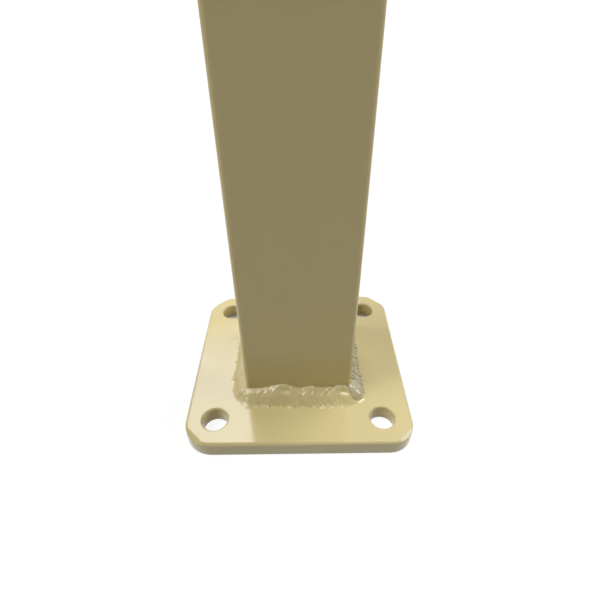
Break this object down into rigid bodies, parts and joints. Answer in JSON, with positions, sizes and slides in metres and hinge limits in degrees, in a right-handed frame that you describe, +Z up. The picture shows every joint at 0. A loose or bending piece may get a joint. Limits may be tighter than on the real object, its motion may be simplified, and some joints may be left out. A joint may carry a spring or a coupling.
{
  "type": "base-plated fence post",
  "caption": "Tall square hollow post welded round its foot to a square drilled base plate, with a plain push-in cap closing the top.",
  "frame": {"origin": "centre of the base plate's underside", "axes": "+Z up the post, -Y towards the side that the picture shows, +X to the right of that side"},
  "size_m": [0.135, 0.135, 1.9035],
  "materials": {
    "powder_coat": "cream gloss powder coat over aluminium",
    "powder_coat_weld": "cream gloss powder coat over rippled aluminium weld",
    "cap_plastic": "cream moulded plastic, satin"
  },
  "bodies": {
    "root": {"post_tube": "powder_coat", "base_plate": "powder_coat", "weld_front": "powder_coat_weld", "weld_right": "powder_coat_weld", "weld_back": "powder_coat_weld", "weld_left": "powder_coat_weld", "post_cap": "cap_plastic"}
  },
  "joints": []
}
